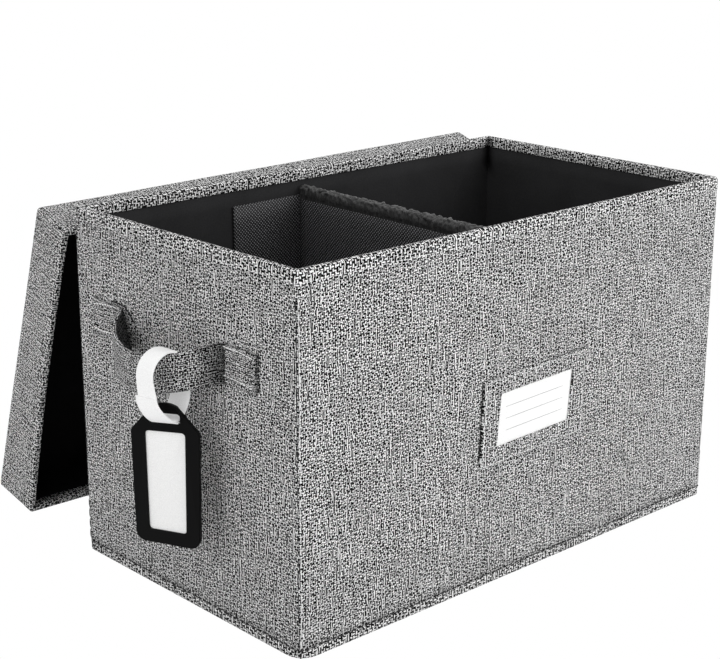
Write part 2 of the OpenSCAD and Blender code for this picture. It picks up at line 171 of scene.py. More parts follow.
def lengthwise(per_row, per_point):
    """The thread map of a piece whose threads cross over: across runs from row to row."""
    shape = len(per_row), len(per_point)
    return np.broadcast_to(np.asarray(per_row, float)[:, None], shape), np.broadcast_to(per_point, shape)

print("skin() ready")

# %% [markdown]
# ## Walking round a box
# Walls, hems, bands and linings all run round a rectangle with rounded corners. One walk
# round the corners, with the same number of steps at every size, lets a profile be swept
# round it with mitred corners, as a tailor turns a hem. It starts at the rear left corner,
# because that is where a real cover has its seam.

# %% Ring and sweep
def ring(l, w, r, steps=(42, 24, 6)):
    long_n, short_n, corner_n = steps
    r = max(r, 0.02)
    x, y = l / 2 - r, w / 2 - r
    spots, outward = [], []
    sides = [((-l / 2, y), (-l / 2, -y), (-1, 0), short_n, (-x, -y), 180),
             ((-x, -w / 2), (x, -w / 2), (0, -1), long_n, (x, -y), 270),
             ((l / 2, -y), (l / 2, y), (1, 0), short_n, (x, y), 0),
             ((x, w / 2), (-x, w / 2), (0, 1), long_n, (-x, y), 90)]
    for start, end, face, n, centre, angle in sides:
        for i in range(n):
            spots.append([s + (e - s) * i / n for s, e in zip(start, end)])
            outward.append(face)
        for i in range(corner_n):
            a = math.radians(angle + 90 * i / corner_n)
            spots.append([centre[0] + r * math.cos(a), centre[1] + r * math.sin(a)])
            outward.append((math.cos(a), math.sin(a)))
    return np.array(spots), np.array(outward)

def sweep(profile, l, w, r, steps=(42, 24, 6), slack=0.0, slack_size=60.0):
    """profile is a list of (distance out, height). slack lets long faces swell and sink a little."""
    rows = []
    for out, z in profile:
        spots, outward = ring(l + 2 * out, w + 2 * out, r + out, steps)
        if slack:
            for p, o in zip(spots, outward):
                p += slack * noise.noise(Vector((p[0], p[1], z)) / slack_size) * o
        rows.append(np.column_stack([spots, np.full(len(spots), z)]))
    return np.array(rows)

def wrap(name, profile, l, w, r, material, body, stands_for, slot=None, walk=None, steps=(42, 24, 6),
         put=None, **swell):
    """A profile swept round a rectangle and made into a piece; put moves it where it belongs."""
    rows = sweep(profile, l, w, r, steps, **swell)
    if walk is None:
        walk = lengths(ring(l, w, r, steps)[0])
    return skin(name, put(rows) if put else rows, walk, lengths(profile), material, body, stands_for, slot)

def level_line(l, w, r, z):
    """A line round a rectangle at one height, and the way out at each of its points."""
    spots, outward = ring(l, w, r)
    return (np.column_stack([spots, np.full(len(spots), z)]),
            np.column_stack([outward, np.zeros(len(spots))]))

def arc(centre, radius, start, end, n):
    turns = [math.radians(a) for a in np.linspace(start, end, n + 1)]
    return [(centre[0] + radius * math.cos(a), centre[1] + radius * math.sin(a)) for a in turns]

print("ring of the box:", len(ring(box_l, box_w, corner_r)[0]), "points")

# %% [markdown]
# ## Weave
# The cover is a plain weave of thick, uneven yarn. The yarn is two strands twisted together,
# one black and one off-white, which gives the restless grey. Each crossing shows either the
# upright thread or the level one, and here and there an upright thread floats over several
# crossings and shows as a streak. An image could show that, but only at one distance. Here
# floor and fraction of the thread map find the thread and the place in it, noise says which
# strand is on top, and the rounded shape of the yarn gives a height for the bump. Several
# cloths use it, so it is a node group with named inputs.

# %% Helpers for nodes
def add(tree, kind, sockets=None, **settings):
    made = tree.nodes.new(kind)
    for key, value in settings.items():
        setattr(made, key, value)
    for key, value in (sockets or {}).items():
        if isinstance(value, bpy.types.NodeSocket):
            tree.links.new(value, made.inputs[key])
        else:
            made.inputs[key].default_value = value
    return made

def calc(tree, operation, a, b=0.0, c=0.0):
    return add(tree, "ShaderNodeMath", {0: a, 1: b, 2: c}, operation=operation).outputs[0]

def of_vectors(tree, operation, sockets):
    return add(tree, "ShaderNodeVectorMath", sockets, operation=operation).outputs[0]

def blended(tree, share, first, second):
    return add(tree, "ShaderNodeMix", {0: share, 2: first, 3: second}).outputs[0]

def join(tree, x, y, z=0.0):
    return add(tree, "ShaderNodeCombineXYZ", {0: x, 1: y, 2: z}).outputs[0]

def stretch(tree, value, low, high, to_low=0.0, to_high=1.0, kind="LINEAR"):
    return add(tree, "ShaderNodeMapRange", {"Value": value, "From Min": low, "From Max": high,
                                            "To Min": to_low, "To Max": to_high},
               interpolation_type=kind).outputs["Result"]

def group(name, inputs, outputs):
    tree = bpy.data.node_groups.new(name, "ShaderNodeTree")
    for label, kind, value in inputs:
        socket = tree.interface.new_socket(label, in_out="INPUT", socket_type=kind)
        if value is not None:
            socket.default_value = value
    for label, kind in outputs:
        tree.interface.new_socket(label, in_out="OUTPUT", socket_type=kind)
    given, made = tree.nodes.new("NodeGroupInput"), tree.nodes.new("NodeGroupOutput")
    return tree, given.outputs, made.inputs

FLOAT, VECTOR, COLOUR = "NodeSocketFloat", "NodeSocketVector", "NodeSocketColor"
print("node helpers ready")

# %% The weave group
weave, wants, gives = group("plain weave", [
    ("Threads", VECTOR, None), ("Upright pitch", FLOAT, 0.00125), ("Level pitch", FLOAT, 0.00164),
    ("Light yarn", COLOUR, (0.8, 0.8, 0.8, 1)), ("Dark yarn", COLOUR, (0.02, 0.02, 0.02, 1)),
    ("Upright light", FLOAT, 0.4), ("Level light", FLOAT, 0.4), ("Change", FLOAT, 0.2), ("Run", FLOAT, 10.0),
    ("Hold", FLOAT, 6.0), ("Floats", FLOAT, 0.3), ("Groove", FLOAT, 0.4)],
    [("Colour", COLOUR), ("Height", FLOAT)])

bent = wants["Threads"]
for scale, most in ((60.0, 0.0014), (420.0, 0.0013)):   # waves per metre, and their reach in metres
    waver = add(weave, "ShaderNodeTexNoise", {"Vector": wants["Threads"], "Scale": scale, "Detail": 1.0})
    waver = of_vectors(weave, "SUBTRACT", {0: waver.outputs["Color"], 1: (0.5, 0.5, 0.5)})
    waver = of_vectors(weave, "SCALE", {0: waver, "Scale": most})
    bent = of_vectors(weave, "ADD", {0: bent, 1: waver})
pitches = join(weave, wants["Upright pitch"], wants["Level pitch"], 1.0)
count = of_vectors(weave, "DIVIDE", {0: bent, 1: pitches})
place = add(weave, "ShaderNodeSeparateXYZ", {0: count}).outputs
upright, level = calc(weave, "FLOOR", place["X"]), calc(weave, "FLOOR", place["Y"])

def from_middle(fraction):
    return calc(weave, "ABSOLUTE", calc(weave, "SUBTRACT", fraction, 0.5))

def squared(value):
    return calc(weave, "MULTIPLY", value, value)

def drift(thread, along, seed):
    """0 to 1, changing slowly along a thread and from one thread to the next."""
    own_line = calc(weave, "MULTIPLY_ADD", thread, 7.37, seed)   # far enough apart to be unlike each other
    spot = join(weave, own_line, calc(weave, "DIVIDE", along, wants["Run"]))
    run = add(weave, "ShaderNodeTexNoise", {"Vector": spot, "Scale": 1.0, "Detail": 3.0, "Roughness": 0.75},
              noise_dimensions="2D").outputs[0]
    return stretch(weave, run, 0.25, 0.75)

def light_strand(thread, across, along, seed, share, hold):
    """1 on the light strand of a two-strand yarn. The strands change places every few crossings."""
    stretch_of = calc(weave, "FLOOR", calc(weave, "DIVIDE", along, hold))
    turn = add(weave, "ShaderNodeTexWhiteNoise",
               {"Vector": join(weave, calc(weave, "ADD", thread, seed), stretch_of)},
               noise_dimensions="2D").outputs[0]
    place_in = calc(weave, "FRACT", calc(weave, "ADD", across, turn))
    near = calc(weave, "MULTIPLY", from_middle(place_in), 2.0)
    either_way = calc(weave, "MULTIPLY_ADD", drift(thread, along, seed), 2.0, -1.0)
    change = calc(weave, "MULTIPLY", either_way, wants["Change"])
    return stretch(weave, calc(weave, "ADD", near, calc(weave, "ADD", share, change)), 0.98, 1.02)

afloat = calc(weave, "LESS_THAN", drift(upright, place["Y"], 77.5), wants["Floats"])
over = calc(weave, "FLOORED_MODULO", calc(weave, "ADD", upright, level), 2.0)
over = calc(weave, "MAXIMUM", over, afloat)
strand_up = light_strand(upright, place["X"], place["Y"], 900.5, wants["Upright light"], wants["Hold"])
strand_level = light_strand(level, place["Y"], place["X"], 500.5, wants["Level light"], 1.0)
tone = blended(weave, over, strand_level, strand_up)
off_x, off_y = from_middle(calc(weave, "FRACT", place["X"])), from_middle(calc(weave, "FRACT", place["Y"]))
side, end = blended(weave, over, off_y, off_x), blended(weave, over, off_x, off_y)
end = calc(weave, "MULTIPLY", end, calc(weave, "MULTIPLY_ADD", afloat, -0.7, 1.0))
roundness = calc(weave, "SQRT", calc(weave, "SUBTRACT", 1.0, calc(weave, "MULTIPLY", squared(side), 3.98)))
dip = calc(weave, "SUBTRACT", 1.0, calc(weave, "MULTIPLY", squared(end), 3.4))
height = calc(weave, "MULTIPLY", roundness, dip)
# The colour is darkened towards each thread's edges: painted shade in the grooves between threads.
shade = calc(weave, "MULTIPLY_ADD", calc(weave, "SUBTRACT", height, 1.0), wants["Groove"], 1.0)
mixed = add(weave, "ShaderNodeMix", {0: tone, 6: wants["Dark yarn"], 7: wants["Light yarn"]},
            data_type="RGBA").outputs[2]
weave.links.new(of_vectors(weave, "SCALE", {0: mixed, "Scale": shade}), gives["Colour"])
weave.links.new(height, gives["Height"])
print("weave group:", len(weave.nodes), "nodes")

# %% [markdown]
# ## Mottle
# No cloth, card or plastic is the same all over: it has handling marks and uneven dye. A
# slow noise that stays between two values does for all of them, so it is a group as well.

# %% The mottle group
mottle, wants, gives = group("mottle", [
    ("Place", VECTOR, None), ("Size", FLOAT, 0.03), ("Low", FLOAT, 0.9), ("High", FLOAT, 1.0)],
    [("Value", FLOAT)])
per_metre = calc(mottle, "DIVIDE", 1.0, wants["Size"])
slow = add(mottle, "ShaderNodeTexNoise", {"Vector": wants["Place"], "Scale": per_metre,
                                          "Detail": 3.0}).outputs[0]
mottle.links.new(stretch(mottle, slow, 0.3, 0.7, wants["Low"], wants["High"]), gives["Value"])
print("mottle group:", len(mottle.nodes), "nodes")

# %% [markdown]
# ## Finishes
# Each finish is one Principled shader. The cloths take their colour and height from the
# weave, with their own yarn and pitch. Lining, board, card and plastic take a grain from
# fine noise. Values that are the same all over stay on the shader's own sockets.

# %% Materials from the groups
def new_finish(name, roughness, sheen=0.0, specular=0.3):
    material = bpy.data.materials.new(name)
    material.use_nodes = True
    tree = material.node_tree
    shader = tree.nodes["Principled BSDF"]
    shader.inputs["Roughness"].default_value = roughness
    shader.inputs["Sheen Weight"].default_value = sheen
    shader.inputs["Specular IOR Level"].default_value = specular
    return material, tree, shader.inputs

def bump(tree, shader, height, distance):
    made = add(tree, "ShaderNodeBump", {"Height": height, "Distance": distance, "Strength": 1.0})
    tree.links.new(made.outputs[0], shader["Normal"])

def place_group(tree, which, **sockets):
    named = {key.replace("_", " "): value for key, value in sockets.items()}
    return add(tree, "ShaderNodeGroup", named, node_tree=which).outputs

def cloth(name, light, dark, painted_shade=0.0, upright=0.38, level=0.36, pitch=(0.00125, 0.00164), depth=0.00008,
          roughness=0.9, sheen=0.0, specular=0.1):
    """A woven finish. upright and level are the shares of light strand, pitch and depth are in metres."""
    material, tree, shader = new_finish(name, roughness, sheen, specular)
    threads = add(tree, "ShaderNodeUVMap", uv_map="threads").outputs[0]
    woven = place_group(tree, weave, Threads=threads, Upright_pitch=pitch[0], Level_pitch=pitch[1],
                        Light_yarn=(light,) * 3 + (1,), Dark_yarn=(dark,) * 3 + (1,), Upright_light=upright,
                        Level_light=level, Change=0.2, Run=11.0, Hold=4.0, Floats=0.3, Groove=0.4)
    spot = add(tree, "ShaderNodeTexCoord").outputs["Object"]
    tone_scale = place_group(tree, mottle, Place=spot, Size=0.05, Low=0.95, High=1.04)["Value"]
    # The colour is darkened here by a value stored at each point: painted shade in folds and hollows.
    if painted_shade:
        shade_depth = add(tree, "ShaderNodeAttribute", attribute_name="painted_shade").outputs["Fac"]
        tone_scale = calc(tree, "MULTIPLY", tone_scale, calc(tree, "MULTIPLY_ADD", shade_depth, -painted_shade, 1.0))
    tree.links.new(of_vectors(tree, "SCALE", {0: woven["Colour"], "Scale": tone_scale}), shader["Base Color"])
    bump(tree, shader, woven["Height"], depth)
    return material

cover_cloth = cloth("cover cloth", 1.0, 0.008)
hem_cloth = cloth("hem cloth", 1.0, 0.006, pitch=(0.0017, 0.0019))
strap_cloth = cloth("strap cloth", 0.92, 0.006, painted_shade=0.9, upright=0.33, level=0.3,
                    pitch=(0.0011, 0.0014))
# The strap's inner face is the same weave made dark: painted shade for the gap between strap and wall.
shaded_strap_back = cloth("shaded strap back", 0.16, 0.004)
gathered_cloth = cloth("gathered cloth", 0.085, 0.006, painted_shade=0.97, pitch=(0.0006, 0.0006), depth=0.0001,
                       roughness=0.38, sheen=0.1, specular=0.5)
print("cloths:", [m.name for m in bpy.data.materials if m.name.endswith(("cloth", "back"))])

# %% Lining, tape, board, card, plastic and thread
def grained(name, colour, roughness, grain, depth, low=0.85, high=1.1, specular=0.3):
    """A plain finish with fine grain, uneven in tone. grain and depth are in metres."""
    material, tree, shader = new_finish(name, roughness, specular=specular)
    spot = add(tree, "ShaderNodeTexCoord").outputs["Object"]
    fine = add(tree, "ShaderNodeTexNoise", {"Vector": spot, "Scale": 1.0 / grain, "Detail": 3.0}).outputs[0]
    tone_scale = place_group(tree, mottle, Place=spot, Size=0.03, Low=low, High=high)["Value"]
    speck = calc(tree, "MULTIPLY", tone_scale, stretch(tree, fine, 0.3, 0.7, 0.9, 1.08))
    tree.links.new(of_vectors(tree, "SCALE", {0: colour, "Scale": speck}), shader["Base Color"])
    bump(tree, shader, fine, depth)
    return material

lining_cloth = grained("lining cloth", (0.026, 0.026, 0.027), 0.95, 0.0009, 0.0002, specular=0.08)
# The lid's lining is the same cloth as the box's, made darker as painted shade inside the leaning lid.
lid_lining_shaded = grained("lid lining shaded", (0.006, 0.006, 0.0065), 0.95, 0.0009, 0.0002,
                           specular=0.03)
stiff_board = grained("stiff board", (0.42, 0.31, 0.20), 0.85, 0.0015, 0.0002)
white_card = grained("white card", (0.94, 0.94, 0.935), 0.55, 0.0004, 0.00002, low=0.985, high=1.0)
rule_ink = grained("rule ink", (0.42, 0.42, 0.43), 0.6, 0.0006, 0.00001)
tag_plastic = grained("tag plastic", (0.002, 0.002, 0.0022), 0.4, 0.0004, 0.00001, specular=0.07)
loop_plastic = grained("loop plastic", (0.76, 0.76, 0.76), 0.4, 0.0005, 0.000006, low=0.985, high=1.0,
                       specular=0.4)
# The band is given a faint glow of its own: painted light, in place of the light that comes through the thin
# band.
painted_glow = loop_plastic.node_tree.nodes["Principled BSDF"].inputs
painted_glow["Emission Color"].default_value = (1, 1, 1, 1)
painted_glow["Emission Strength"].default_value = 0.2
light_thread = grained("light thread", (0.86, 0.86, 0.86), 0.7, 0.0004, 0.00008)
dark_thread = grained("dark thread", (0.012, 0.012, 0.013), 0.7, 0.0004, 0.00008)

# Hook tape is black with rows of pale round heads, laid slantwise at 620 to the metre.
hook_tape, tree, shader = new_finish("hook tape", 0.6)
threads = add(tree, "ShaderNodeUVMap", uv_map="threads").outputs[0]
turned = add(tree, "ShaderNodeMapping", {"Vector": threads, "Rotation": (0, 0, math.radians(45))}).outputs[0]
hooks = add(tree, "ShaderNodeTexVoronoi", {"Vector": turned, "Scale": 620.0, "Randomness": 0.12},
            voronoi_dimensions="2D").outputs["Distance"]
head = stretch(tree, hooks, 0.36, 0.14, kind="SMOOTHSTEP")
tone = add(tree, "ShaderNodeMix", {0: head, 6: (0.006, 0.006, 0.007, 1), 7: (0.3, 0.3, 0.31, 1)},
           data_type="RGBA")
tree.links.new(tone.outputs[2], shader["Base Color"])
bump(tree, shader, head, 0.0005)
print("materials:", len(bpy.data.materials))

# %% [markdown]
# ## Stitches
# A sewn line is a row of short threads that dive in and out of the cloth. They could be
# drawn in the bump, but they catch light as small solids, so each stitch is a spindle with
# pointed ends that lies a little out of the cloth, and one mesh holds a whole line.

# %% Lay a line of stitches
def stitches(name, path, out, material, body, length=2.3, gap=0.9, thick=0.36, lift=0.1, closed=False):
    path, out = np.asarray(path, float), np.asarray(out, float)
    if closed:
        path, out = np.vstack([path, path[:1]]), np.vstack([out, out[:1]])
    run = lengths(path)[:len(path)]
    points, faces = [], []
    sizes = ((0.0, 0.2, -0.3), (0.2, 0.9, 0.5), (0.5, 1.0, 1.0), (0.8, 0.9, 0.5), (1.0, 0.2, -0.3))
    at = lambda s, what: np.array([np.interp(s, run, what[:, c]) for c in range(3)])
    for i in range(int(run[-1] / (length + gap))):
        start = i * (length + gap) + gap / 2
        ahead = at(start + length, path) - at(start, path)
        ahead /= np.linalg.norm(ahead)
        up = at(start + length / 2, out)
        up /= np.linalg.norm(up)
        beside = np.cross(ahead, up)
        first = len(points)
        for share, size, rise in sizes:
            centre = at(start + share * length, path) + up * (lift * rise)
            for a in range(6):
                c, s = math.cos(a * math.pi / 3), math.sin(a * math.pi / 3)
                points.append(centre + thick / 2 * size * (beside * c + up * s))
        for j in range(len(sizes) - 1):
            for a in range(6):
                b, low = (a + 1) % 6, first + j * 6
                faces.append((low + a, low + b, low + 6 + b, low + 6 + a))
        faces += [tuple(first + a for a in range(5, -1, -1)), tuple(first + 24 + a for a in range(6))]
    mesh = bpy.data.meshes.new(name)
    mesh.from_pydata((np.array(points) * MM).tolist(), [], faces)
    return finish_piece(mesh, name, material, body, ())

print("stitches() ready")

# %% [markdown]
# ## Wall cover
# The cover is glued flat to the boards, so the walls are straight but never quite flat. The
# skin has the thickness of the cloth and swells and sinks by a few tenths of a millimetre.
# A finer mesh or a simulation would show no more at this stiffness.

# %% Walls of the box
wall_low, wall_high, cloth_in = 4.6, 202.2, -0.95   # edges of the cover, and its face on the board
wall_profile = ([(0.0, z) for z in np.linspace(wall_low, wall_high, 26)]
                + [(cloth_in, wall_high), (cloth_in, wall_low)])
box_cover = wrap("box_cover", wall_profile, box_l, box_w, corner_r, cover_cloth, "box", ["outer_cover"],
                 "cover_fabric", slack=0.35)
print("box cover:", len(box_cover.data.vertices), "points")

# Along each upright corner a pale thread stands up, partly a real thread of the cloth and partly a painted
# highlight on the edge, and a dark line of painted shade lies beside it.
corners = (("front_left", -1, -1), ("front_right", 1, -1), ("rear_left", -1, 1), ("rear_right", 1, 1))
for name, x, y in corners:
    for kind, thread, angle, thick in (("pipe_and_highlight", light_thread, 30, 0.5), ("shade_line", dark_thread, 62, 0.6)):
        a = math.radians(angle)
        spot = (x * (box_l / 2 - corner_r + (corner_r + 0.05) * math.sin(a)),
                y * (box_w / 2 - corner_r + (corner_r + 0.05) * math.cos(a)))
        stitches("corner_%s_%s" % (kind, name), [(*spot, 7.0), (*spot, 200.5)],
                 [(x * math.sin(a), y * math.cos(a), 0)] * 2, thread, "box", length=6.0, gap=0.5, thick=thick)

# %% [markdown]
# ## Foot band
# The base is a board in its own cloth, sewn on below the walls. Its folded edge shows as a
# narrow band that stands a little proud, under a dark line of painted shade, drawn as
# stitches. Its front left corner is rounder than the others, as if worn. A second outline
# could be drawn for it, but it is simpler to sweep the band like the walls, with more points,
# and then to draw the points of that corner in. A flat panel closes the underside. The
# imported model has a corner radius of 8 mm and an edge radius of 3.5 mm here, and the
# photograph shows about 4 and 1.2 mm.

# %% Foot band and underside
foot_r, foot_edge_r, proud = 4.0, 1.2, 0.4   # its corners, its edge at the floor, and how far it stands out
worn_r, worn_h = 11.0, 5.5                   # the worn corner at the floor, and how high the wear reaches
fine = (84, 48, 8)
band_profile = (arc((-foot_edge_r + proud, foot_edge_r), foot_edge_r, -90, 0, 6)
                + [(0.42, 4.6), (0.2, 5.3), (-0.4, 5.5), (-1.2, 5.45), (-1.2, 3.0), (-3.2, 1.0), (-3.6, 0.9),
                   (-3.6, 0.0)])

def wear_corner(rows):
    """Draw in the outer points at the front left, so that they lie on a rounder corner."""
    for (out, z), row in zip(band_profile, rows):
        wear = corner_r + (worn_r - corner_r) * max(0.0, 1 - z / worn_h) ** 0.8
        middle = np.array([-box_l / 2 + wear, -box_w / 2 + wear])
        for p in row:
            reach = p[:2] - middle
            if out > -2 and (reach < 0).all() and np.hypot(*reach) > wear + out:
                p[:2] = middle + reach / np.hypot(*reach) * (wear + out)
    return rows

foot_band = wrap("foot_band", band_profile, box_l, box_w, foot_r, hem_cloth, "box", ["base_cover"],
                 "cover_fabric", steps=fine, put=wear_corner)

def panel(name, l, w, low, high, material, body, stands_for=(), slot=None, put=None, soft=0.3, n=40):
    """A flat cloth panel with soft edges, threads along x and y."""
    half, edge = w / 2, min(soft, (high - low) / 2)
    across = list(np.linspace(-half + edge, half - edge, 16))
    section = ([(y, high) for y in across] + [(half, high - edge), (half, low + edge)]
               + [(y, low) for y in across[::-1]] + [(-half, low + edge), (-half, high - edge)])
    stations = np.linspace(-l / 2, l / 2, n)
    rows = np.array([[(x, y, z) for y, z in section] for x in stations])
    threads = lengthwise(np.append(stations, l / 2), lengths(section))
    return skin(name, put(rows) if put else rows, *threads, material, body, stands_for, slot,
                round_column=False)

# A dark line of painted shade under the wall's edge, drawn as dark stitches.
stitches("foot_painted_shade", *level_line(box_l, box_w, corner_r, 6.1), dark_thread, "box", length=3.2, gap=1.5,
         thick=0.85, lift=0.2, closed=True)
panel("underside", box_l - 5.4, box_w - 5.4, 0.02, 0.95, hem_cloth, "box", ["base_cover"], "cover_fabric")
print("foot band:", len(foot_band.data.vertices), "points")

# %% [markdown]
# ## Rim hem
# The cover is folded over the rim, and a finger's breadth shows inside. The fold is round,
# because the cloth is thick, and a line of stitches holds it outside. So the profile is a
# hook: up the outside, over in a half circle, and down to a turned edge on the lining.

# %% Hem over the rim
over_rim = arc((-2.25, box_h - 2.5), 2.45, 0, 180, 10)
rim_profile = ([(-0.3, 201.2), (0.12, 201.25), (0.26, 201.8), (0.2, 203.5)] + over_rim
               + [(-4.7, 204.0), (-4.72, 202.9), (-4.5, 202.45), (-4.1, 202.5), (-3.7, 203.5), (-3.62, 207.0),
                  (-2.25, 208.45), (-1.05, 207.0), (-0.9, 203.0)])
rim_fold = wrap("rim_fold", rim_profile, box_l, box_w, corner_r, hem_cloth, "box", ["rim_hem"],
                "cover_fabric", slack=0.12, slack_size=35.0)
rim_seam = stitches("rim_seam", *level_line(box_l + 0.5, box_w + 0.5, corner_r + 0.2, 202.6), light_thread,
                    "box", closed=True)
print("rim fold:", len(rim_fold.data.vertices), "points, stitches:", len(rim_seam.data.vertices) // 30)

# %% [markdown]
# ## Linings
# The inside is a smooth black non-woven cloth, glued to the boards, and a loose lined board
# covers the bottom. Both are plain, so it is their slight unevenness and the soft edge of
# the board that make them read as cloth.

# %% Wall lining and floor board
sharp_r, sharp = 0.5, (42, 24, 3)   # the lining's corners, and the fewer steps they need
lining_low, lining_high = 3.8, 202.8
lining_profile = ([(-4.1, z) for z in np.linspace(lining_low, lining_high, 20)]
                  + [(-3.65, lining_high), (-3.65, lining_low)])
bay_lining = wrap("bay_lining", lining_profile, box_l, box_w, sharp_r, lining_cloth, "box", ["wall_lining"],
                  "lining_fabric", walk=lengths(ring(box_l - 8, box_w - 8, sharp_r, sharp)[0]), steps=sharp,
                  slack=0.25, slack_size=45.0)
panel("floor_board", 331, 185, 3.65, 6.2, lining_cloth, "box", ["floor_insert"], "lining_fabric", soft=0.8)
print("lining:", len(bay_lining.data.vertices), "points")

# %% [markdown]
# ## Handles
# Each handle is one folded strap, sewn flat to the wall at both ends and bowed out between
# them. It could be a curve object with a bevel, but then the threads would not follow it.
# The strap is a rounded section carried along its own path.

# %% Path of a strap
strap_points = [  # out from the wall, y, how far the strap sags
    (1.2, 78.4, 0.0), (1.2, 70.0, 0.0), (1.2, 62.0, 0.0), (1.2, 55.0, 0.0), (1.2, 50.5, 0.3),
    (1.9, 47.2, 1.2), (7.0, 43.4, 2.4), (13.6, 38.6, 4.0), (19.2, 32.4, 6.0), (23.0, 25.0, 7.6),
    (26.6, 14.5, 8.8), (28.8, 1.0, 8.9), (28.8, -12.0, 6.6), (26.4, -21.5, 4.0), (22.0, -28.8, 2.4),
    (15.0, -34.0, 1.0), (6.5, -36.8, 0.3), (1.5, -38.2, 0.0), (1.2, -43.0, 0.0), (1.2, -50.0, 0.0),
    (1.2, -58.0, 0.0), (1.2, -66.5, 0.0)]
rear_fold, rear_slant = 31.0, 4.3   # where the rear fold lies along the strap, and how far it slants
step = 1.2                          # between the rows of the strap

def rounded_path(points):
    """Cut the corners of a line four times over, then put points on it at even steps."""
    line = np.array(points)
    for _ in range(4):
        cut = np.empty((2 * len(line) - 2, line.shape[1]))
        cut[0::2] = 0.75 * line[:-1] + 0.25 * line[1:]
        cut[1::2] = 0.25 * line[:-1] + 0.75 * line[1:]
        line = np.vstack([line[:1], cut, line[-1:]])
    run = lengths(line)[:len(line)]
    even = np.arange(0, run[-1], step)
    return even, np.column_stack([np.interp(even, run, line[:, c]) for c in range(line.shape[1])])

strap_run, path = rounded_path(strap_points)
heading = np.gradient(path[:, :2], axis=0)
heading /= np.linalg.norm(heading, axis=1)[:, None]
beside = np.column_stack([-heading[:, 1], heading[:, 0]])   # away from the wall
front_fold = float(strap_run[np.argmax((path[:, 0] < 1.6) & (path[:, 1] < 0))])
print("strap of %.0f mm, front fold at %.0f mm" % (strap_run[-1], front_fold))

# %% Strap, with painted shade on its back and at its front fold
def strap_section(w, t, r=1.0):
    """Corner points (away from the wall, up): outer face, top edge, inner face, bottom edge."""
    spots = []
    for sign in (1, -1):
        spots += [(sign * t / 2, sign * v) for v in np.linspace(-w / 2 + r, w / 2 - r, 8)]
        spots += [(sign * (t / 2 - r + r * math.cos(a)), sign * (w / 2 - r + r * math.sin(a)))
                  for a in np.linspace(0.3, 1.27, 4)]
        spots += [(sign * (r - t / 2 - r * math.cos(a)), sign * (w / 2 - r + r * math.sin(a)))
                  for a in np.linspace(1.27, 0.3, 4)]
    return spots

def on_wall(wall, out, y, z):
    """From strap measures to the frame: the right wall's strap is the left one turned half round."""
    return (-box_l / 2 - out, y, z) if wall == "left" else (box_l / 2 + out, -y, z)

def mark_painted_shade(piece, depth):
    """Store how much painted shade each point takes, for the cloth to darken by."""
    shade_depth = piece.data.attributes.new("painted_shade", "FLOAT", "POINT")
    shade_depth.data.foreach_set("value", np.asarray(depth, np.float32))

def sew_strap(wall, material, back, stands_for):
    section = strap_section(handle_w, handle_t)
    rows = []
    for run, (out, y, sag), (turn_out, turn_y) in zip(strap_run, path, beside):
        near = math.exp(-((run - rear_fold - 3.0) / 15.0) ** 2)
        rows.append([on_wall(wall, max(out + away * turn_out, 0.05),
                             y + away * turn_y + rear_slant * near * up / (handle_w / 2),
                             handle_z + up - sag) for away, up in section])
    n, m = len(rows), len(section)
    made = skin(wall + "_strap", rows, lengths(section), np.append(strap_run, strap_run[-1]), material, None,
                stands_for, "cover_fabric", round_column=False)
    made.data.materials.append(back)
    for i, face in enumerate(made.data.polygons):
        # The inner face gets the dark cloth of painted shade.
        if i < (n - 1) * m and 14 <= i % m <= 24:   # the inner face of the strap
            face.material_index = 1
    # The strap's colour is darkened as painted shade where it turns into the wall at its front fold, over the
    # last 17 mm.
    before = np.clip((front_fold + 2.0 - strap_run) / 17.0, 0, 1)
    painted_shade = np.where(strap_run < front_fold + 2.0, (1 - before) ** 0.8, 0.0)
    mark_painted_shade(made, np.repeat(painted_shade, m))
    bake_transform(made)

for wall in ("left", "right"):
    sew_strap(wall, strap_cloth, shaded_strap_back,
              [wall + "_handle" + part for part in ("", "_end_front", "_end_rear")])

# %% Stitches at the sewn ends, and dark lines of painted shade
def off_wall_at(wall, n):
    return [(on_wall(wall, 1, 0, 0)[0], 0.0, 0.0)] * n

def wall_line(wall, ends, sag=0.0, out=handle_t + 0.02, n=16):
    """A line on a wall between two places (y, z), bowed by sag, and the way out from the wall."""
    (y0, z0), (y1, z1) = ends
    line = [on_wall(wall, out, y0 + (y1 - y0) * t, z0 + (z1 - z0) * t + sag * math.sin(math.pi * t))
            for t in np.linspace(0, 1, n)]
    return line, off_wall_at(wall, n)

strap_seams = (("rear_top", ((77.2, 156.8), (57.0, 158.6)), 0.8),
               ("rear_low", ((77.2, 143.2), (57.0, 143.6)), -0.8),
               ("front_top", ((-40.5, 159.0), (-65.6, 157.4)), 0.6),
               ("front_low", ((-40.5, 143.4), (-65.6, 140.9)), 0.6))
# A dark line over the rear end is painted shadow under the strap's fold, drawn as dark stitches.
fold_shadow_line = ((63.4, 161.0), (55.6, 161.2), (49.8, 160.4), (44.6, 157.0), (41.0, 153.0))   # over the rear end
end_shade_low, end_shade_high = 138.4, 161.0

for wall in ("left", "right"):
    for name, ends, sag in strap_seams:
        stitches("%s_stitch_%s" % (wall, name), *wall_line(wall, ends, sag), light_thread, "box", length=2.2,
                 gap=0.45, thick=0.7, lift=0.2)
    stitches(wall + "_tack_fold", [on_wall(wall, 0.5, y, z) for y, z in fold_shadow_line],
             off_wall_at(wall, len(fold_shadow_line)), dark_thread, "box", length=3.4, gap=0.2, thick=1.0)
    # A dark line down each strap end is painted shade at the end's edge, drawn as dark stitches.
    for name, y in (("front", -66.9), ("rear", 78.9)):
        stitches("%s_tack_%s" % (wall, name), *wall_line(wall, ((y, end_shade_high), (y, end_shade_low)), out=0.35),
                 dark_thread, "box", length=3.4, gap=0.2, thick=0.8)

# %% [markdown]
# ## Label pocket and card
# A patch of the same cloth with a window is sewn on the front, open at the top, and a white
# card stands in it. The patch is a set of rings from its outer edge to the window, so both
# edges turn over softly. The real patch is not quite square, so its places are slanted a
# little, the window more than the edge. The card has plain ruled lines.

